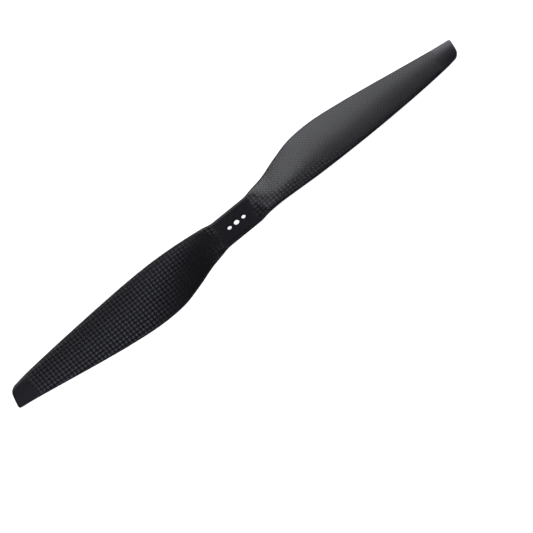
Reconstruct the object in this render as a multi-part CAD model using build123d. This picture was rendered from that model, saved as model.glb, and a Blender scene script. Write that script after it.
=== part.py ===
from build123d import *
import math
import os
from collections import namedtuple

import numpy

# Two-blade fixed-pitch propeller for a multirotor, moulded from carbon fibre, 15 x 5.5 inch, clockwise.
#
# Millimetres. The origin is on the spin axis, at the hub's underside. +Z is the spin axis and the way the
# thrust acts. +X runs along blade A from the hub to its tip. Seen from above the propeller turns
# clockwise, so blade A's leading edge is on its -Y side. Blade B is blade A turned half round.
#
# The pieces are the layers and fillings of one blade shape: woven skins outside, unidirectional plies
# under them, hub doublers under those, and the hub block, foam cores and edge tows inside. A bond line of
# a few hundredths of a millimetre parts them all.

# ---- Driving dimensions ----------------------------------------------------------------------------
TIP_RADIUS = 190.5  # half of 15 inches
TIP_CORNER = TIP_RADIUS + 0.5  # where the tip's end and its trailing edge would meet, but for the rounding
TIP_RAKE = 0.26  # how far the end of the tip runs inward for each millimetre towards the leading edge
TIP_ROUND_LEADING = 7.0
TIP_ROUND_TRAILING = 2.0
TIP_MARGIN = 0.2  # the tool that trims the tip clears its two edges by this much

HUB_THICKNESS = 4.0
HUB_HALF_WIDTH = 10.3
HUB_HALF_LENGTH = 13.0  # the hub is straight to here, where the blades start to twist
PAD_CROWN = 0.10  # what the flat pads take off the hub's top and bottom
TOP_PAD_HALF_LENGTH = 14.0
TOP_PAD_SLANT = 1.8  # the top pad's ends lie this much further out at the trailing edges than on X
SEAT_HALF_LENGTH = 18.0
BORE_RADIUS = 2.1  # clearance for a 4 mm shaft
BOLT_RADIUS = 1.7  # clearance for an M3 screw
BOLT_SPACING = 12.0  # from one bolt hole to the other

SKIN = 0.30  # thickness of a woven skin
PLY = 0.20  # thickness of a unidirectional ply
DOUBLER = 0.30  # thickness of a hub doubler
BOND = 0.04  # resin between neighbouring pieces

SKIN_END = 177.0  # the skins stop here and the solid tips show beyond
TONGUE_START = 173.0  # the tip's tongue reaches in between the skins to here
PLY_END = 172.0
CORE_END = 170.0
DOUBLER_END = 30.0

LEADING_TOW = 0.17  # share of the angle round a section that the leading-edge tow takes
TRAILING_TOW = 0.20
CAMBER = 0.30  # height of the camber line as a share of the thickness

Station = namedtuple("Station", "radius lead trail twist low thick foil")
# Sections along blade A. lead and trail are the leading and trailing edges' distances from the X axis,
# twist is in degrees, low is the trailing edge's height above the seat, and thick is the greatest
# thickness. foil is 0 where the section is the hub's bar and 1 where it is an airfoil.
HUB_SECTION = (HUB_HALF_WIDTH, HUB_HALF_WIDTH, 0.0, HUB_THICKNESS / 2, HUB_THICKNESS + 2 * PAD_CROWN, 0.0)
STATIONS = [
    Station(0.0, *HUB_SECTION),
    Station(HUB_HALF_LENGTH, *HUB_SECTION),
    Station(21.0, 10.5, 11.7, 11.4, 2.0, 3.9, 0.2),
    Station(32.0, 11.1, 13.9, 18.5, 1.1, 3.5, 0.75),
    Station(46.0, 12.2, 18.3, 17.5, 1.2, 3.3, 1.0),
    Station(62.0, 13.1, 22.2, 14.6, 1.7, 3.0, 1.0),
    Station(82.0, 13.4, 22.7, 12.5, 2.1, 2.6, 1.0),
    Station(105.0, 13.1, 20.1, 11.4, 1.6, 2.3, 1.0),
    Station(128.0, 12.4, 16.4, 10.1, 1.5, 2.0, 1.0),
    Station(152.0, 11.3, 12.1, 8.7, 1.7, 1.8, 1.0),
    Station(177.0, 9.5, 7.7, 7.4, 2.1, 1.5, 1.0),
    Station(192.0, 7.1, 5.5, 6.7, 2.3, 1.3, 1.0),
]
RADII = [s.radius for s in STATIONS]

Level = namedtuple("Level", "drop inset_lead inset_trail")
# How far a level lies inside the outer surface: down from it, and in from the two edges.
OUTER = Level(0.0, 0.0, 0.0)
SKIN_INSIDE = Level(SKIN, 0.8, 1.4)
PLY_OUTSIDE = Level(SKIN_INSIDE.drop + BOND, 0.9, 1.55)
PLY_INSIDE = Level(PLY_OUTSIDE.drop + PLY, 1.5, 2.5)
CORE_OUTSIDE = Level(PLY_INSIDE.drop + BOND, 1.6, 2.65)
DOUBLER_INSIDE = Level(CORE_OUTSIDE.drop + DOUBLER, 2.2, 3.3)
BLOCK_OUTSIDE = Level(DOUBLER_INSIDE.drop + BOND, 2.3, 3.45)

# ---- Curves through points -------------------------------------------------------------------------
DEGREE = 9  # of the curves round a section


def bernstein(i, t):
    return math.comb(DEGREE, i) * t**i * (1 - t) ** (DEGREE - i)


SHARES = [(1 - math.cos(math.pi * k / DEGREE)) / 2 for k in range(DEGREE + 1)]
POLES_FROM_POINTS = numpy.linalg.inv([[bernstein(i, t) for i in range(DEGREE + 1)] for t in SHARES])


# ---- Sections of blade A ---------------------------------------------------------------------------
def bar_shape(angle):
    """Half-thickness of the hub's bar from its leading edge, at angle 0, to its trailing one, at pi."""
    return (math.sin(angle) + 0.20 * math.sin(3 * angle) + 0.04 * math.sin(5 * angle)) / 0.84


def foil_shape(angle):
    """Half-thickness of the airfoil, fullest at three tenths of the chord, with both edges rounded."""
    return (math.sin(angle) + 0.30 * math.sin(2 * angle)) / 1.136


def section_point(station, level, side, angle):
    """A point (y, z) of a level. side is 1 on its upper surface and -1 on its lower one."""
    inset_trail = level.inset_lead + (level.inset_trail - level.inset_lead) * station.foil
    chord = station.lead + station.trail
    width = chord - level.inset_lead - inset_trail
    y = level.inset_lead + width * (1 - math.cos(angle)) / 2
    share = y / chord
    rise = chord * math.tan(math.radians(station.twist))
    camber = CAMBER * station.thick * station.foil * 4 * share * (1 - share)
    parting = station.low + (1 - share) * rise + camber
    shape = (1 - station.foil) * bar_shape(angle) + station.foil * foil_shape(angle)
    half = BOND / 2 + (station.thick / 2 - level.drop - BOND / 2) * shape
    return (y - station.lead, parting + side * half)


def curve(level, side, start=0.0, end=1.0):
    """Poles of the curve along a level, between two shares of the angle round it, at every station."""
    poles = []
    for station in STATIONS:
        angles = [math.pi * (start + (end - start) * t) for t in SHARES]
        points = [section_point(station, level, side, a) for a in angles]
        poles.append(POLES_FROM_POINTS @ numpy.array(points))
    return numpy.array(poles)


def line(before, after):
    """Straight line from the end of one curve to the start of the next, at every station."""
    return numpy.stack([before[:, -1], after[:, 0]], axis=1)


def closed(first, second):
    """The four runs of a section that is bounded by two curves, the second coming back."""
    return [first, line(first, second), second, line(second, first)]


def half_layer(outside, inside, side):
    """Section of an upper or lower layer between two levels, from edge to edge."""
    return closed(curve(outside, side), curve(inside, side, 1.0, 0.0))


def filling(level, start=0.0, end=1.0):
    """Section of a piece that fills a level, between two shares of the angle round it."""
    return closed(curve(level, 1, start, end), curve(level, -1, end, start))


# ---- Surfaces along the blade ----------------------------------------------------------------------
def slope_at(poles, k):
    """Slope of the poles at a station. It is 0 at the hub, which is straight."""
    if k < 2:
        return 0 * poles[0]
    last = min(k + 1, len(RADII) - 1)
    return (poles[last] - poles[k - 1]) / (RADII[last] - RADII[k - 1])


def along(poles, radius):
    """The poles and their slope at any radius, by the cubic between the stations on both sides."""
    k = next(i for i in range(len(RADII) - 1) if radius <= RADII[i + 1])
    width = RADII[k + 1] - RADII[k]
    t = (radius - RADII[k]) / width
    a, b = poles[k], poles[k + 1]
    slope_a, slope_b = width * slope_at(poles, k), width * slope_at(poles, k + 1)
    value = a * (1 + 2 * t) * (1 - t) ** 2 + b * t * t * (3 - 2 * t)
    value = value + slope_a * t * (1 - t) ** 2 + slope_b * t * t * (t - 1)
    slope = (b - a) * 6 * t * (1 - t) + slope_a * (1 - t) * (1 - 3 * t) + slope_b * t * (3 * t - 2)
    return value, slope / width


def placed(radius, values, blade):
    """Poles at a radius of blade A (blade 1), or of blade B (blade -1), which is turned half round."""
    return [(blade * radius, blade * y, z) for y, z in values]


def patch(poles, start, end, blade):
    """The surface along a run between two radii that have no station between them."""
    (first, slope_first), (last, slope_last) = along(poles, start), along(poles, end)
    third = (end - start) / 3
    rows = [
        placed(start, first, blade),
        placed(start + third, first + slope_first * third, blade),
        placed(end - third, last - slope_last * third, blade),
        placed(end, last, blade),
    ]
    return Face.make_bezier_surface(rows)


def end_face(section, radius, blade):
    """The flat end of a piece."""
    edges = [Edge.make_bezier(*placed(radius, along(p, radius)[0], blade)) for p in section]
    return Face(Wire(edges))


def blade_faces(section, start, end, blade):
    """The surfaces of one blade's part of a piece, without its ends."""
    stops = [start, *(r for r in RADII if start < r < end), end]
    return [patch(p, a, b, blade) for p in section for a, b in zip(stops, stops[1:])]


def blade_solid(section, start, end, blade):
    faces = blade_faces(section, start, end, blade)
    faces += [end_face(section, start, blade), end_face(section, end, blade)]
    return Solid(Shell(faces))


def through_solid(section, end):
    """A piece that runs from blade B, straight across the hub, to blade A."""
    faces = [end_face(section, end, 1), end_face(section, end, -1)]
    for blade in (1, -1):
        faces += blade_faces(section, HUB_HALF_LENGTH, end, blade)
    for poles in section:
        values = along(poles, HUB_HALF_LENGTH)[0]
        sides = (-HUB_HALF_LENGTH, HUB_HALF_LENGTH)
        faces.append(Face.make_bezier_surface([[(x, y, z) for y, z in values] for x in sides]))
    return Solid(Shell(faces))


# ---- Machining -------------------------------------------------------------------------------------
TOOL_REACH = 20.0  # how far the cutting tools reach past the part


def drilled(shape):
    """The shape with the centre bore and the two bolt holes through it."""
    shape -= Cylinder(BORE_RADIUS, 2 * TOOL_REACH)
    for x in (-BOLT_SPACING / 2, BOLT_SPACING / 2):
        shape -= Pos(x, 0, 0) * Cylinder(BOLT_RADIUS, 2 * TOOL_REACH)
    return shape


def faced(shape, side):
    """The shape with the hub's top (side 1) or its seat (side -1) cut flat."""
    length = TOP_PAD_HALF_LENGTH if side > 0 else SEAT_HALF_LENGTH
    wide = 2 * HUB_HALF_WIDTH
    lean = TOP_PAD_SLANT * wide / HUB_HALF_WIDTH if side > 0 else 0.0
    outline = Polyline(
        (-length - lean, -wide),
        (length - lean, -wide),
        (length + lean, wide),
        (-length + lean, wide),
        close=True,
    )
    level = HUB_THICKNESS if side > 0 else 0.0
    return shape - extrude(Pos(0, 0, level) * make_face(outline), side * TOOL_REACH)


def tip_outline(blade):
    """Prism round the solid tip: raked, and rounded at its two corners."""
    before, last = STATIONS[-2:]
    run = last.radius - before.radius

    def lead_at(x):
        return TIP_MARGIN + last.lead + (last.lead - before.lead) / run * (x - last.radius)

    def trail_at(x):
        return TIP_MARGIN + last.trail + (last.trail - before.trail) / run * (x - last.radius)

    start = TONGUE_START - 1.0
    inner = TIP_CORNER - TIP_RAKE * (last.lead + last.trail)
    corner_lead, corner_trail = (inner, -lead_at(inner)), (TIP_CORNER, trail_at(TIP_CORNER))
    sketch = make_face(
        Polyline((start, -lead_at(start)), corner_lead, corner_trail, (start, trail_at(start)), close=True)
    )
    sketch = fillet(sketch.vertices().sort_by_distance(corner_lead)[0], TIP_ROUND_LEADING)
    sketch = fillet(sketch.vertices().sort_by_distance(corner_trail)[0], TIP_ROUND_TRAILING)
    return Rot(0, 0, 0 if blade > 0 else 180) * extrude(sketch, TOOL_REACH, both=True)


# ---- The pieces ------------------------------------------------------------------------------------
def skin(side):
    """Woven skin, one piece from tip to tip."""
    return drilled(faced(through_solid(half_layer(OUTER, SKIN_INSIDE, side), SKIN_END), side))


def unidirectional_ply(side):
    """Ply of straight fibres under a skin, one piece from tip to tip."""
    return drilled(through_solid(half_layer(PLY_OUTSIDE, PLY_INSIDE, side), PLY_END))


def hub_doubler(side):
    """Short woven ply that thickens the hub under a unidirectional ply."""
    return drilled(through_solid(half_layer(CORE_OUTSIDE, DOUBLER_INSIDE, side), DOUBLER_END))


def hub_block():
    """Solid laminate in the middle of the hub, between the doublers."""
    return drilled(through_solid(filling(BLOCK_OUTSIDE), DOUBLER_END))


def inside_blade(blade, start, end):
    """A piece inside one blade, between two shares of the angle round its section."""
    return blade_solid(filling(CORE_OUTSIDE, start, end), DOUBLER_END + BOND, CORE_END, blade)


def tip(blade):
    """Solid tip, with a tongue that is bonded in between the ends of the skins."""
    end = blade_solid(filling(OUTER), SKIN_END + BOND, RADII[-1], blade)
    tongue = blade_solid(filling(PLY_OUTSIDE), TONGUE_START, SKIN_END + 1.0, blade)
    return (end + tongue) & tip_outline(blade)


def build():
    """Every piece, under the name of its node."""
    pieces = {
        "upper_skin": skin(1),
        "lower_skin": skin(-1),
        "upper_unidirectional_ply": unidirectional_ply(1),
        "lower_unidirectional_ply": unidirectional_ply(-1),
        "upper_hub_doubler": hub_doubler(1),
        "lower_hub_doubler": hub_doubler(-1),
        "hub_block": hub_block(),
    }
    front, rear = LEADING_TOW, 1 - TRAILING_TOW
    gap = 0.001
    for name, blade in (("blade_a", 1), ("blade_b", -1)):
        pieces[f"{name}_leading_edge_tow"] = inside_blade(blade, 0.0, front - gap)
        pieces[f"{name}_foam_core"] = inside_blade(blade, front + gap, rear - gap)
        pieces[f"{name}_trailing_edge_tow"] = inside_blade(blade, rear + gap, 1.0)
        pieces[f"{name}_tip"] = tip(blade)
    return pieces


os.makedirs("parts", exist_ok=True)
for node, piece in build().items():
    export_step(piece, f"parts/{node}.step")
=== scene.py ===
import math

import bmesh
import bpy
import numpy as np
from mathutils import Matrix, Vector


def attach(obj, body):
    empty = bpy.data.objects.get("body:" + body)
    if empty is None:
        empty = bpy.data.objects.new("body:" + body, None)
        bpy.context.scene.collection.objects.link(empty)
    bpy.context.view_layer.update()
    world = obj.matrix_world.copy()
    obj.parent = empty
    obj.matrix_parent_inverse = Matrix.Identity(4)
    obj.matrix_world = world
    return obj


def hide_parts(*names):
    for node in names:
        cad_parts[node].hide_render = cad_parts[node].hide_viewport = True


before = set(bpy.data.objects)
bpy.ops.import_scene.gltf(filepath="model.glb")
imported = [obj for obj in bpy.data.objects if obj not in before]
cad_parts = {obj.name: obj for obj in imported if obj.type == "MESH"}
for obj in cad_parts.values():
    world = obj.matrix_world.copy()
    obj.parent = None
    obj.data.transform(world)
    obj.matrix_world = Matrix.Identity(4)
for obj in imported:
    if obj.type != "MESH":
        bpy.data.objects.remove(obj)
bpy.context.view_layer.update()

# The visual model of a two-blade carbon-fibre propeller: woven skins and moulded tips in place of the
# CAD's, over its inner layers.
#
# Lengths are in millimetres unless a comment says metres, and mesh_object makes metres of them. Blade A
# lies along +X with its leading edge on the -Y side, and blade B is blade A turned half round.
MM = 0.001

# ---- The blade's shape, as the CAD part has it -----------------------------------------------------
TIP_RADIUS = 190.5
TIP_CORNER = TIP_RADIUS + 0.5  # where the tip's end and its trailing edge would meet, but for the rounding
TIP_RAKE = 0.26  # how far the end of the tip runs inward for each millimetre towards the leading edge
TIP_ROUND_LEADING = 7.0
TIP_ROUND_TRAILING = 2.0
TIP_MARGIN = 0.2  # the tool that trims the tip clears its two edges by this much

HUB_THICKNESS = 4.0
HUB_HALF_WIDTH = 10.3
HUB_HALF_LENGTH = 13.0  # the hub is straight to here, where the blades start to twist
PAD_CROWN = 0.10  # what the flat pads take off the hub's top and bottom
TOP_PAD_HALF_LENGTH = 14.0
TOP_PAD_SLANT = 1.8  # the top pad's ends lie this much further out at the trailing edges than on X
SEAT_HALF_LENGTH = 18.0
BORE_RADIUS = 2.1
BOLT_RADIUS = 1.7
BOLT_SPACING = 12.0
# Each hole's place on the X axis, and its radius.
HOLES = ((0.0, BORE_RADIUS), (-BOLT_SPACING / 2, BOLT_RADIUS), (BOLT_SPACING / 2, BOLT_RADIUS))

SKIN = 0.30  # thickness of a woven skin
BOND = 0.04  # resin between neighbouring pieces
SKIN_END = 177.0  # the skins stop here and the solid tips show beyond
CAMBER = 0.30  # height of the camber line as a share of the thickness

# Sections along blade A: radius, the leading and trailing edges' distances from the X axis, twist in
# degrees, the trailing edge's height above the seat, the greatest thickness, and 0 for the hub's bar or 1
# for an airfoil.
HUB_SECTION = (HUB_HALF_WIDTH, HUB_HALF_WIDTH, 0.0, HUB_THICKNESS / 2, HUB_THICKNESS + 2 * PAD_CROWN, 0.0)
STATIONS = np.array([
    (0.0, *HUB_SECTION),
    (HUB_HALF_LENGTH, *HUB_SECTION),
    (21.0, 10.5, 11.7, 11.4, 2.0, 3.9, 0.2),
    (32.0, 11.1, 13.9, 18.5, 1.1, 3.5, 0.75),
    (46.0, 12.2, 18.3, 17.5, 1.2, 3.3, 1.0),
    (62.0, 13.1, 22.2, 14.6, 1.7, 3.0, 1.0),
    (82.0, 13.4, 22.7, 12.5, 2.1, 2.6, 1.0),
    (105.0, 13.1, 20.1, 11.4, 1.6, 2.3, 1.0),
    (128.0, 12.4, 16.4, 10.1, 1.5, 2.0, 1.0),
    (152.0, 11.3, 12.1, 8.7, 1.7, 1.8, 1.0),
    (177.0, 9.5, 7.7, 7.4, 2.1, 1.5, 1.0),
    (192.0, 7.1, 5.5, 6.7, 2.3, 1.3, 1.0),
])
RADII = STATIONS[:, 0]
# Levels inside the outer surface: down from it, and in from the leading and the trailing edge.
OUTER = (0.0, 0.0, 0.0)
SKIN_INSIDE = (SKIN, 0.8, 1.4)

# ---- How finely it is meshed -----------------------------------------------------------------------
FACES_ACROSS = 56  # across the outer surface
FACES_INSIDE = 14  # across a skin's inner one
RADIUS_STEP = 1.2
HOLE_SIDES = 64
CORNER_STEPS = 10  # round each rounded corner of the tip
TOOL_REACH = 20.0  # how far the cutters reach past the part
SHARP_TURN = math.radians(35)  # edges that turn by more than this stay crisp
FLAT_NORMAL = 0.99999  # the faces of the two pads point up or down at least this straight
MERGE = 1e-7  # metres between corners that the cuts left double

# ---- Where the weave shows -------------------------------------------------------------------------
# Each pair is where a fade starts and where it ends.
HUB_TO_BLADE = (-3.0, 4.0)  # outward from the end of the top pad
LEADING_FADE_HUB, LEADING_FADE_BLADE = (0.6, 2.8), (0.6, 2.2)  # in from the leading edge
TRAILING_FADE_HUB, TRAILING_FADE_BLADE = (0.8, 2.8), (0.2, 1.2)  # in from the trailing edge
WEAVE_ON_HUB = 0.22  # the share of the weave that shows on the hub
WEAVE_END = (SKIN_END - 6.0, SKIN_END + 2.0)  # the weave goes, outward along the blade
TIP_FINISH = (SKIN_END - 9.0, SKIN_END)  # and the tip's finish comes


# ---- Sections --------------------------------------------------------------------------------------
def bar_shape(angles):
    """Half-thickness of the hub's bar from its leading edge, at angle 0, to its trailing one, at pi."""
    return (np.sin(angles) + 0.20 * np.sin(3 * angles) + 0.04 * np.sin(5 * angles)) / 0.84


def foil_shape(angles):
    """Half-thickness of the airfoil, fullest at three tenths of the chord, with both edges rounded."""
    return (np.sin(angles) + 0.30 * np.sin(2 * angles)) / 1.136


def section_points(level, side, angles):
    """Points (y, z) of a level at every station. side is 1 on its upper surface, -1 on its lower one."""
    drop, inset_lead, inset_trail = level
    _, lead, trail, twist, low, thick, foil = np.hsplit(STATIONS, STATIONS.shape[1])
    inset_trail = inset_lead + (inset_trail - inset_lead) * foil
    chord = lead + trail
    y = inset_lead + (chord - inset_lead - inset_trail) * (1 - np.cos(angles)) / 2
    share = y / chord
    rise = chord * np.tan(np.radians(twist))
    camber = CAMBER * thick * foil * 4 * share * (1 - share)
    parting = low + (1 - share) * rise + camber
    shape = (1 - foil) * bar_shape(angles) + foil * foil_shape(angles)
    half = BOND / 2 + (thick / 2 - drop - BOND / 2) * shape
    return np.stack([y - lead, parting + side * half], axis=-1)


def slope_at(values, k):
    """Slope of the values at a station. It is 0 at the hub, which is straight."""
    if k < 2:
        return 0 * values[0]
    last = min(k + 1, len(RADII) - 1)
    return (values[last] - values[k - 1]) / (RADII[last] - RADII[k - 1])


def along(values, radius):
    """Values given at the stations, at any radius, by the cubic between the stations on both sides."""
    k = next(i for i in range(len(RADII) - 1) if radius <= RADII[i + 1])
    width = RADII[k + 1] - RADII[k]
    t = (radius - RADII[k]) / width
    value = values[k] * (1 + 2 * t) * (1 - t) ** 2 + values[k + 1] * t * t * (3 - 2 * t)
    bend = slope_at(values, k) * t * (1 - t) ** 2 + slope_at(values, k + 1) * t * t * (t - 1)
    return value + width * bend


def section_ring(runs, radius, blade):
    """A ring of a section made of runs (level, side, angles). blade is 1 for blade A, -1 for blade B."""
    points = []
    for level, side, angles in runs:
        if blade < 0:
            angles = math.pi - angles
        for y, z in along(section_points(level, side, angles), radius):
            points.append((blade * radius, blade * y, z))
    return np.array(points)


def radii_between(start, end):
    """Radii from start to end, with the stations among them."""
    stops = [start, *(r for r in RADII if start < r < end), end]
    radii = []
    for a, b in zip(stops, stops[1:]):
        radii += list(np.linspace(a, b, max(round((b - a) / RADIUS_STEP), 1), endpoint=False))
    return radii + [end]


# ---- Meshes ----------------------------------------------------------------------------------------
def mesh_object(name, vertices, faces):
    """An object in metres from corners in millimetres."""
    mesh = bpy.data.meshes.new(name)
    mesh.from_pydata([tuple(v) for v in np.asarray(vertices) * MM], [], faces)
    mesh.validate()
    obj = bpy.data.objects.new(name, mesh)
    bpy.context.scene.collection.objects.link(obj)
    return obj


def tube(name, rings):
    """A closed mesh through rings of points, with a flat end at the first and the last ring."""
    count = len(rings[0])
    faces = []
    for i in range(len(rings) - 1):
        for j in range(count):
            a, b = i * count + j, i * count + (j + 1) % count
            faces.append((a, b, b + count, a + count))
    faces.append(tuple(range(count))[::-1])
    last = (len(rings) - 1) * count
    faces.append(tuple(last + j for j in range(count)))
    obj = mesh_object(name, np.concatenate(rings), faces)
    bm = bmesh.new()
    bm.from_mesh(obj.data)
    bmesh.ops.recalc_face_normals(bm, faces=bm.faces)
    bm.to_mesh(obj.data)
    bm.free()
    return obj


def prism(name, outline, low, high):
    """A closed prism over a flat outline."""
    n = len(outline)
    vertices = [(x, y, low) for x, y in outline] + [(x, y, high) for x, y in outline]
    faces = [tuple(range(n))[::-1], tuple(range(n, 2 * n))]
    faces += [(i, (i + 1) % n, n + (i + 1) % n, n + i) for i in range(n)]
    return mesh_object(name, vertices, faces)


def cut(obj, cutter, operation="DIFFERENCE"):
    """Applies a boolean with a cutter, which is used up."""
    modifier = obj.modifiers.new("cut", "BOOLEAN")
    modifier.operation = operation
    modifier.solver = "EXACT"
    modifier.object = cutter
    bpy.context.view_layer.update()
    evaluated = obj.evaluated_get(bpy.context.evaluated_depsgraph_get())
    mesh = bpy.data.meshes.new_from_object(evaluated)
    obj.modifiers.clear()
    old = obj.data
    obj.data = mesh
    bpy.data.meshes.remove(old)
    bpy.data.objects.remove(cutter)


def circle(x, y, radius):
    turns = [2 * math.pi * k / HOLE_SIDES for k in range(HOLE_SIDES)]
    return [(x + radius * math.cos(t), y + radius * math.sin(t)) for t in turns]


def rounded(outline, radii):
    """An outline with some corners rounded. radii gives each corner's radius, or 0."""
    points = []
    for i, (corner, radius) in enumerate(zip(outline, radii)):
        here = Vector(corner)
        if not radius:
            points.append(corner)
            continue
        before = (Vector(outline[i - 1]) - here).normalized()
        after = (Vector(outline[(i + 1) % len(outline)]) - here).normalized()
        half = before.angle(after) / 2
        middle = here + (before + after).normalized() * radius / math.sin(half)
        start = here + before * radius / math.tan(half) - middle
        end = here + after * radius / math.tan(half) - middle
        first = math.atan2(start.y, start.x)
        sweep = (math.atan2(end.y, end.x) - first + math.pi) % (2 * math.pi) - math.pi
        for k in range(CORNER_STEPS + 1):
            t = first + sweep * k / CORNER_STEPS
            points.append((middle.x + radius * math.cos(t), middle.y + radius * math.sin(t)))
    return points


# ---- Pieces ----------------------------------------------------------------------------------------
def face_off(obj, side):
    """Cuts the hub's top pad or its seat flat."""
    length, slant = (TOP_PAD_HALF_LENGTH, TOP_PAD_SLANT) if side > 0 else (SEAT_HALF_LENGTH, 0.0)
    levels = (HUB_THICKNESS, TOOL_REACH) if side > 0 else (-TOOL_REACH, 0.0)
    wide, lean = 2 * HUB_HALF_WIDTH, 2 * slant
    pad = [(-length - lean, -wide), (length - lean, -wide), (length + lean, wide), (-length + lean, wide)]
    cut(obj, prism("pad", pad, *levels))


def skin_object(name, side):
    """A woven skin from tip to tip, faced off at the hub and drilled."""
    outer = np.linspace(0, math.pi, FACES_ACROSS + 1)
    inner = np.linspace(math.pi, 0, FACES_INSIDE + 1)
    runs = [(OUTER, side, outer), (SKIN_INSIDE, side, inner)]
    radii = radii_between(HUB_HALF_LENGTH, SKIN_END)
    rings = [section_ring(runs, r, -1) for r in reversed(radii)]
    rings += [section_ring(runs, r, 1) for r in radii]
    obj = tube(name, rings)
    face_off(obj, side)
    for x, radius in HOLES:
        cut(obj, prism("hole", circle(x, 0, radius), -TOOL_REACH, TOOL_REACH))
    return obj


def tip_object(name, blade):
    """The solid tip beyond the skins, raked and rounded."""
    upper = np.linspace(0, math.pi, FACES_ACROSS + 1)
    runs = [(OUTER, 1, upper), (OUTER, -1, upper[::-1])]
    rings = [section_ring(runs, r, blade) for r in radii_between(SKIN_END, RADII[-1])]
    obj = tube(name, rings)
    edges_at_end = STATIONS[-1, 1:3]
    slopes = (edges_at_end - STATIONS[-2, 1:3]) / (RADII[-1] - RADII[-2])

    def lead_and_trail(x):
        return TIP_MARGIN + edges_at_end + slopes * (x - RADII[-1])

    start = SKIN_END - 1
    inner = TIP_CORNER - TIP_RAKE * sum(edges_at_end)
    outline = [
        (start, -lead_and_trail(start)[0]),
        (inner, -lead_and_trail(inner)[0]),
        (TIP_CORNER, lead_and_trail(TIP_CORNER)[1]),
        (start, lead_and_trail(start)[1]),
    ]
    outline = rounded(outline, [0, TIP_ROUND_LEADING, TIP_ROUND_TRAILING, 0])
    outline = [(blade * x, blade * y) for x, y in outline]
    cut(obj, prism("outline", outline, -TOOL_REACH, TOOL_REACH), "INTERSECT")
    return obj


def smooth_shading(mesh):
    """Smooth shading with crisp edges, among them the outlines of the flat pads."""
    mesh.shade_smooth()
    bm = bmesh.new()
    bm.from_mesh(mesh)
    bmesh.ops.remove_doubles(bm, verts=bm.verts, dist=MERGE)
    bmesh.ops.recalc_face_normals(bm, faces=bm.faces)
    for edge in bm.edges:
        flat = [abs(face.normal.z) > FLAT_NORMAL for face in edge.link_faces]
        pad_outline = len(flat) == 2 and flat[0] != flat[1]
        edge.smooth = not (pad_outline or edge.calc_face_angle(0) > SHARP_TURN)
    bm.to_mesh(mesh)
    bm.free()


def fade(value, start, end):
    """0 up to start and 1 from end on, with a smooth rise between."""
    t = min(max((value - start) / (end - start), 0.0), 1.0)
    return t * t * (3 - 2 * t)


def changing_fade(value, on_hub, on_blade, share):
    """A fade whose start and end change from the hub's to the blade's as share goes from 0 to 1."""
    return fade(value, *(a + (b - a) * share for a, b in zip(on_hub, on_blade)))


def cloth_attributes(mesh):
    """Stores each point's place on the cloth, and how much weave, tip finish and clear coat it has."""
    places, weave, finish, coat = [], [], [], []
    for vertex in mesh.vertices:
        x, y, z = vertex.co / MM
        blade = 1 if x > 0 else -1
        _, lead, trail, twist, *_ = along(STATIONS, min(abs(x), RADII[-1]))
        from_pad = abs(x) - TOP_PAD_HALF_LENGTH - TOP_PAD_SLANT * blade * y / HUB_HALF_WIDTH
        on_blade = fade(from_pad, *HUB_TO_BLADE)
        from_edge = min(
            changing_fade(lead + blade * y, LEADING_FADE_HUB, LEADING_FADE_BLADE, on_blade),
            changing_fade(trail - blade * y, TRAILING_FADE_HUB, TRAILING_FADE_BLADE, on_blade),
        )
        on_tip = fade(abs(x), *TIP_FINISH)
        places += [x, y / math.cos(math.radians(twist)), z]
        amount = from_edge * (WEAVE_ON_HUB + (1 - WEAVE_ON_HUB) * on_blade)
        weave.append(amount * (1 - fade(abs(x), *WEAVE_END)))
        finish.append(on_tip)
        coat.append(max(from_edge, on_tip))
    mesh.attributes.new("cloth", "FLOAT_VECTOR", "POINT").data.foreach_set("vector", places)
    for name, values in (("weave", weave), ("finish", finish), ("coat", coat)):
        mesh.attributes.new(name, "FLOAT", "POINT").data.foreach_set("value", values)


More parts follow.
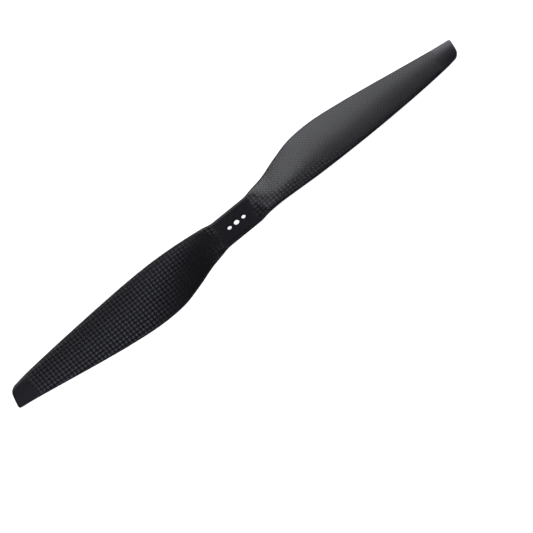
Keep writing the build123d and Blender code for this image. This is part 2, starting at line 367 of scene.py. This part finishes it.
# ---- Node graphs -----------------------------------------------------------------------------------
class Graph:
    """Small helper that adds nodes to a material or a world and links them."""

    def __init__(self, owner):
        self.owner = owner
        owner.use_nodes = True
        self.tree = owner.node_tree
        self.shader = self.tree.nodes.get("Principled BSDF")

    def node(self, kind, **settings):
        node = self.tree.nodes.new(kind)
        for key, value in settings.items():
            setattr(node, key, value)
        return node

    def put(self, value, socket):
        """Links a value that is a socket, or sets one that is a number, colour or vector."""
        if isinstance(value, bpy.types.NodeSocket):
            self.tree.links.new(value, socket)
        else:
            socket.default_value = value

    def feed(self, node, *values, first=0):
        """Puts values on a node's inputs in turn, from the given one on."""
        for i, value in enumerate(values, first):
            self.put(value, node.inputs[i])

    def math(self, operation, *values):
        node = self.node("ShaderNodeMath", operation=operation)
        self.feed(node, *values)
        return node.outputs[0]

    def mix(self, share, a, b):
        """a where share is 0 and b where it is 1, for numbers."""
        node = self.node("ShaderNodeMix", data_type="FLOAT")
        self.feed(node, share)
        self.feed(node, a, b, first=2)
        return node.outputs[0]

    def mix_colour(self, share, a, b):
        """a where share is 0 and b where it is 1, for colours."""
        node = self.node("ShaderNodeMix", data_type="RGBA")
        self.feed(node, share)
        self.feed(node, a, b, first=6)
        return node.outputs[2]

    def vector(self, *values):
        node = self.node("ShaderNodeCombineXYZ")
        self.feed(node, *values)
        return node.outputs[0]

    def parts(self, vector):
        node = self.node("ShaderNodeSeparateXYZ")
        self.feed(node, vector)
        return node.outputs

    def share(self, name):
        """A number that the mesh stores at each point."""
        return self.node("ShaderNodeAttribute", attribute_name=name).outputs["Fac"]

    def place(self):
        """The place on the object, in metres."""
        return self.node("ShaderNodeTexCoord").outputs["Object"]

    def ramp(self, share, *stops):
        """Colours by share. Each stop is a place from 0 to 1 and its colour."""
        node = self.node("ShaderNodeValToRGB")
        while len(node.color_ramp.elements) < len(stops):
            node.color_ramp.elements.new(0.5)
        for element, (place, colour) in zip(node.color_ramp.elements, stops):
            element.position = place
            element.color = (*colour, 1)
        self.feed(node, share)
        return node.outputs[0]

    def noise(self, vector, scale, detail=2.0, roughness=0.5):
        node = self.node("ShaderNodeTexNoise")
        self.put(vector, node.inputs["Vector"])
        self.put(scale, node.inputs["Scale"])
        self.put(detail, node.inputs["Detail"])
        self.put(roughness, node.inputs["Roughness"])
        return node

    def bump(self, height, depth):
        """Normals of a relief as deep as depth, in millimetres, where the height goes from 0 to 1."""
        node = self.node("ShaderNodeBump")
        self.put(depth * MM, node.inputs["Distance"])
        self.put(height, node.inputs["Height"])
        return node.outputs[0]

    def surface(self, **values):
        """Puts values on the shader's inputs. A name's underscores stand for spaces."""
        for name, value in values.items():
            self.put(value, self.shader.inputs[name.replace("_", " ")])


# ---- Woven carbon ----------------------------------------------------------------------------------
# Widths of the two families of tows in millimetres, and the directions across them. The cloth is a
# little sheared where it was laid in the mould.
WARP_TOW, WARP_TURN = 1.84, math.radians(45)
WEFT_TOW, WEFT_TURN = 2.03, math.radians(-49)
WANDER = (0.9, 0.9, 0.0)  # how far the tows wander from straight lines, in millimetres
WANDER_SCALE = 0.09
TOW_DROOP = 0.25  # a tow falls by this share of its height towards its ends in a cell
FIBRE_GRID = (9.0, 0.5)  # cells of the fibres' noise across a tow and along it
FIBRE_NOISE = (3.0, 3.0, 0.6)  # its scale, detail and roughness
FIBRE_HEIGHT = 0.05  # as a share of a tow's height
WEAVE_DEPTH = 0.10  # height of the tows
PAINTED_WARP_SHEEN = 0.35  # painted sheen: what the warp adds to the tone, for the light that its tows catch
FIBRE_TONE = 0.15  # and what the fibres add
# Colours of the carbon by tone. The lighter end is reached on the warp's painted sheen and on the painted
# highlights on the tows' crowns.
CARBON = (
    (0.0, (0.0012, 0.0012, 0.0017)),
    (0.6, (0.0020, 0.0020, 0.0027)),
    (1.0, (0.0042, 0.0042, 0.0054)),
)
CARBON_IOR = 2.1
TOW_ROUGHNESS = 0.38
GAP_ROUGHNESS = 0.95  # of the resin between the tows
PAD_ROUGHNESS = 0.72  # under the coat where no weave shows
RIM_ROUGHNESS = 0.95  # at the edges, which have no coat
TIP_ROUGHNESS = 0.42
TIP_COLOUR = (0.0150, 0.0150, 0.0175, 1.0)
COAT_ROUGHNESS = 0.22
COAT_IOR = 1.38
COAT_DEPTH = 0.09  # depth of the coat's relief
COAT_OVER_WEAVE = 0.10  # the share of the weave's height that the coat follows
PEEL_HEIGHT = 0.40  # orange peel in the coat
PEEL_SCALE = 0.35


def tow_place(g, x, y, width, turn):
    """The place across a family of tows, counted in tows."""
    return g.math("ADD", g.math("MULTIPLY", x, math.cos(turn) / width),
                  g.math("MULTIPLY", y, math.sin(turn) / width))


def rise(g, offset, share=1.0):
    """1 in the middle of a tow, less share at its sides, where the offset from the middle is a half."""
    outward = g.math("MULTIPLY", offset, 2.0)
    return g.math("SUBTRACT", 1.0, g.math("MULTIPLY", g.math("MULTIPLY", outward, outward), share))


def coated_carbon(name):
    """Plain weave of 3K tows at 45 degrees to the blade under a clear coat, smooth resin at the tips."""
    g = Graph(bpy.data.materials.new(name))
    cloth = g.node("ShaderNodeAttribute", attribute_name="cloth").outputs["Vector"]
    amount, finish, coat = g.share("weave"), g.share("finish"), g.share("coat")

    # The cell of the plain weave, and the offsets across and along the tow that is on top in it.
    shift = g.node("ShaderNodeVectorMath", operation="MULTIPLY_ADD")
    g.feed(shift, g.noise(cloth, WANDER_SCALE).outputs["Color"], WANDER, cloth)
    x, y, _ = g.parts(shift.outputs[0])
    warp = tow_place(g, x, y, WARP_TOW, WARP_TURN)
    weft = tow_place(g, x, y, WEFT_TOW, WEFT_TURN)
    cell = g.math("ADD", g.math("FLOOR", warp), g.math("FLOOR", weft))
    warp_on_top = g.math("FLOORED_MODULO", cell, 2.0)
    in_warp = g.math("SUBTRACT", g.math("FRACT", warp), 0.5)
    in_weft = g.math("SUBTRACT", g.math("FRACT", weft), 0.5)
    across = g.mix(warp_on_top, in_weft, in_warp)
    lengthwise = g.mix(warp_on_top, in_warp, in_weft)

    # Height: each tow is a pillow with fine fibres along it.
    pillow = g.math("MULTIPLY", rise(g, across), rise(g, lengthwise, TOW_DROOP))
    fibre_x, fibre_y = (g.math("MULTIPLY", v, n) for v, n in zip((across, lengthwise), FIBRE_GRID))
    fibres = g.noise(g.vector(fibre_x, fibre_y, cell), *FIBRE_NOISE).outputs[0]
    height = g.math("ADD", g.math("MULTIPLY", pillow, amount),
                    g.math("MULTIPLY", g.math("MULTIPLY", fibres, amount), FIBRE_HEIGHT))
    # Tone: the warp tows are painted lighter than the weft, a painted sheen for the light that one
    # direction of tows catches, the middle of each tow is painted lighter as a painted highlight on its
    # crown, and the gaps between tows are dark resin.
    tone = g.math("MULTIPLY", g.math("ADD", g.math("MULTIPLY", warp_on_top, PAINTED_WARP_SHEEN), pillow), amount)
    tone = g.math("ADD", tone, g.math("MULTIPLY", fibres, FIBRE_TONE))
    # Roughness: the middle of each tow on top shines.
    shine = g.math("MULTIPLY", rise(g, across), rise(g, lengthwise))
    plain = g.mix(finish, g.mix(coat, RIM_ROUGHNESS, PAD_ROUGHNESS), TIP_ROUGHNESS)
    rough = g.mix(amount, plain, g.mix(shine, GAP_ROUGHNESS, TOW_ROUGHNESS))
    # The tangent lies across the fibres of the tow on top, so its highlight spreads across them.
    tangent = g.vector(1.0, g.math("MULTIPLY", g.mix(warp_on_top, -1.0, 1.0), amount), 0.0)
    peel = g.math("MULTIPLY", g.noise(cloth, PEEL_SCALE).outputs[0], PEEL_HEIGHT)
    coat_height = g.math("ADD", g.math("MULTIPLY", height, COAT_OVER_WEAVE), peel)
    g.surface(
        Base_Color=g.mix_colour(finish, g.ramp(tone, *CARBON), TIP_COLOUR),
        Metallic=0.0,
        Roughness=rough,
        IOR=CARBON_IOR,
        Normal=g.bump(height, WEAVE_DEPTH),
        Tangent=tangent,
        Anisotropic=1.0,
        Coat_Weight=coat,
        Coat_Roughness=COAT_ROUGHNESS,
        Coat_IOR=COAT_IOR,
        Coat_Normal=g.bump(coat_height, COAT_DEPTH),
    )
    return g.owner


# ---- Inner materials -------------------------------------------------------------------------------
STRAIGHT_COLOUR = (0.016, 0.016, 0.017)
SPECKLE = 0.4  # how much darker and lighter than that it gets
PLY_PITCH = 0.25  # from one ply's line to the next in a drilled wall
PLY_RIPPLE = 0.8  # how far the lines ripple, counted in plies


def straight_carbon():
    """Cured carbon with straight fibres, a little cloudy and grained."""
    g = Graph(bpy.data.materials.new("straight_carbon"))
    place = g.place()
    cloud = g.noise(place, scale=180.0, detail=3.0).outputs[0]
    grain = g.noise(place, scale=2600.0).outputs[0]
    tone = g.math("ADD", g.math("MULTIPLY", cloud, 0.7), g.math("MULTIPLY", grain, 0.3))
    dark, light = (tuple(c * level for c in STRAIGHT_COLOUR) for level in (1 - SPECKLE, 1 + SPECKLE))
    g.surface(
        Base_Color=g.ramp(tone, (0.3, dark), (0.7, light)),
        Roughness=g.mix(cloud, 0.41, 0.49),
        Normal=g.bump(grain, depth=0.02),
    )
    return g.owner


def laminate():
    """Solid laminate whose plies show as fine lines in the walls of the holes."""
    g = Graph(bpy.data.materials.new("hub_laminate"))
    place = g.place()
    ripple = g.math("MULTIPLY", g.noise(place, scale=500.0, detail=3.0).outputs[0], PLY_RIPPLE)
    plies = g.math("ADD", g.math("MULTIPLY", g.parts(place)[2], 1 / (PLY_PITCH * MM)), ripple)
    line = g.math("ABSOLUTE", g.math("SUBTRACT", g.math("FRACT", plies), 0.5))
    g.surface(
        Base_Color=g.ramp(line, (0.0, (0.010, 0.010, 0.011)), (0.45, (0.028, 0.028, 0.030))),
        Roughness=g.mix(line, 0.45, 0.65),
        Normal=g.bump(line, depth=0.02),
    )
    return g.owner


def foam():
    """Closed-cell foam."""
    g = Graph(bpy.data.materials.new("foam"))
    voronoi = g.node("ShaderNodeTexVoronoi")
    g.put(g.place(), voronoi.inputs["Vector"])
    g.put(2200.0, voronoi.inputs["Scale"])
    cells = voronoi.outputs["Distance"]
    g.surface(
        Base_Color=g.ramp(cells, (0.0, (0.60, 0.56, 0.44)), (0.8, (0.82, 0.78, 0.66))),
        Roughness=g.mix(cells, 0.75, 0.9),
        Normal=g.bump(cells, depth=0.1),
    )
    return g.owner


# ---- The CAD's nodes and the pieces over them ------------------------------------------------------
def dress(obj, material):
    """Gives an object one material in place of any that it had."""
    obj.data.materials.clear()
    obj.data.materials.append(material)


def piece(obj, node, material):
    """Finishes a piece that stands for a CAD node."""
    dress(obj, material)
    smooth_shading(obj.data)
    cloth_attributes(obj.data)
    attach(obj, "root")
    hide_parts(node)


WOVEN = coated_carbon("woven_carbon")
TIP = coated_carbon("tip_resin")
STRAIGHT = straight_carbon()
INNER = {"foam": foam(), "hub": laminate(), "skin": WOVEN}

for name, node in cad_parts.items():
    dress(node, next((material for word, material in INNER.items() if word in name), STRAIGHT))

for name, side in (("upper", 1), ("lower", -1)):
    piece(skin_object(f"woven_{name}_skin", side), f"{name}_skin", WOVEN)
for name, blade in (("a", 1), ("b", -1)):
    piece(tip_object(f"moulded_tip_{name}", blade), f"blade_{name}_tip", TIP)

# ---- Floor -----------------------------------------------------------------------------------------
FLOOR_GAP = 0.3  # the floor stays clear of the flat seat, so that they are not in one plane
FLOOR_REACH = 3000.0
FLOOR_GLOW = 0.85  # light of its own, for a clean white

corners = [(x * FLOOR_REACH, y * FLOOR_REACH, -FLOOR_GAP) for x, y in ((-1, -1), (1, -1), (1, 1), (-1, 1))]
floor = mesh_object("floor", corners, [(0, 1, 2, 3)])
g = Graph(bpy.data.materials.new("floor"))
cloud = g.noise(g.place(), scale=8.0, detail=3.0).outputs[0]
g.surface(
    Base_Color=g.ramp(cloud, (0.3, (0.92, 0.92, 0.92)), (0.7, (0.95, 0.95, 0.95))),
    Roughness=0.9,
    Specular_IOR_Level=0.1,
    Emission_Color=(1.0, 1.0, 1.0, 1.0),
    Emission_Strength=FLOOR_GLOW,
)
dress(floor, g.owner)
floor.visible_glossy = False


# ---- Light -----------------------------------------------------------------------------------------
def area_light(name, direction, distance, width, height, power, colour=(1, 1, 1), glossy=True):
    """A rectangular light that faces the origin. Its sizes are in metres."""
    light = bpy.data.lights.new(name, "AREA")
    light.color = colour
    light.shape = "RECTANGLE"
    light.size, light.size_y = width, height
    light.energy = power
    obj = bpy.data.objects.new(name, light)
    bpy.context.scene.collection.objects.link(obj)
    away = Vector(direction).normalized()
    obj.location = away * distance
    obj.rotation_euler = away.to_track_quat("Z", "Y").to_euler()
    obj.visible_glossy = glossy


# The far softbox gives blade A its broad sheen. The near one is narrow along the fibres of one family of
# tows, so that family shows as dots.
area_light("far_softbox", (0.23, 0.85, 0.44),
           distance=1.8, width=1.4, height=1.1, power=9.6, colour=(0.97, 0.98, 1.04))
area_light("near_softbox", (-0.60, -0.61, 0.60),
           distance=1.8, width=0.45, height=0.9, power=4.1, colour=(0.92, 0.93, 1.16))
area_light("side_reflector", (-0.34, 0.58, 0.75),
           distance=1.8, width=0.6, height=0.8, power=1.2, colour=(0.95, 0.96, 1.08))
area_light("ceiling_glow", (-0.08, 0.05, 1.0),
           distance=1.9, width=1.8, height=0.45, power=0.52, colour=(0.88, 0.90, 1.25))
area_light("overhead_fill", (0.1, -0.1, 1.0),
           distance=2.0, width=2.4, height=2.4, power=20, glossy=False)

# The studio is dark overhead and pale near the horizon, so grazing views of the blades are not black.
# Each level goes with a height, from 0 at the horizon to 1 overhead.
SKY_TINT = (0.95, 0.97, 1.0)
SKY_LEVELS = ((0.0, 0.01), (0.03, 0.40), (0.18, 0.24), (0.36, 0.01))

sky = Graph(bpy.data.worlds.new("studio"))
upward = sky.parts(sky.node("ShaderNodeTexCoord").outputs["Generated"])[2]
shade = sky.ramp(upward, *((height, tuple(c * level for c in SKY_TINT)) for height, level in SKY_LEVELS))
sky.feed(sky.tree.nodes["Background"], shade, 1.0)
bpy.context.scene.world = sky.owner

# ---- Camera ----------------------------------------------------------------------------------------
CAMERA_TARGET = (-3.52, -36.92, 2.0)
CAMERA_DIRECTION = (-0.04, -0.25, 1.0)  # from the target to the camera
CAMERA_DISTANCE = 887.0
CAMERA_UP = 0.8965  # angle in radians from +X to the picture's upward direction
LENS, SENSOR = 89.966, 36.0  # focal length and sensor width
NEAREST, FURTHEST = 0.01, 20.0  # metres that the camera sees between

direction = Vector(CAMERA_DIRECTION).normalized()
across = Vector((math.cos(CAMERA_UP), math.sin(CAMERA_UP), 0.0)).cross(direction).normalized()
axes = Matrix((across, direction.cross(across), direction)).transposed().to_4x4()
camera = bpy.data.objects.new("camera", bpy.data.cameras.new("camera"))
camera.data.lens = LENS
camera.data.sensor_width = SENSOR
camera.data.clip_start = NEAREST
camera.data.clip_end = FURTHEST
bpy.context.scene.collection.objects.link(camera)
camera.matrix_world = Matrix.Translation((Vector(CAMERA_TARGET) + direction * CAMERA_DISTANCE) * MM) @ axes
bpy.context.scene.camera = camera
bpy.context.scene.view_settings.view_transform = "Standard"
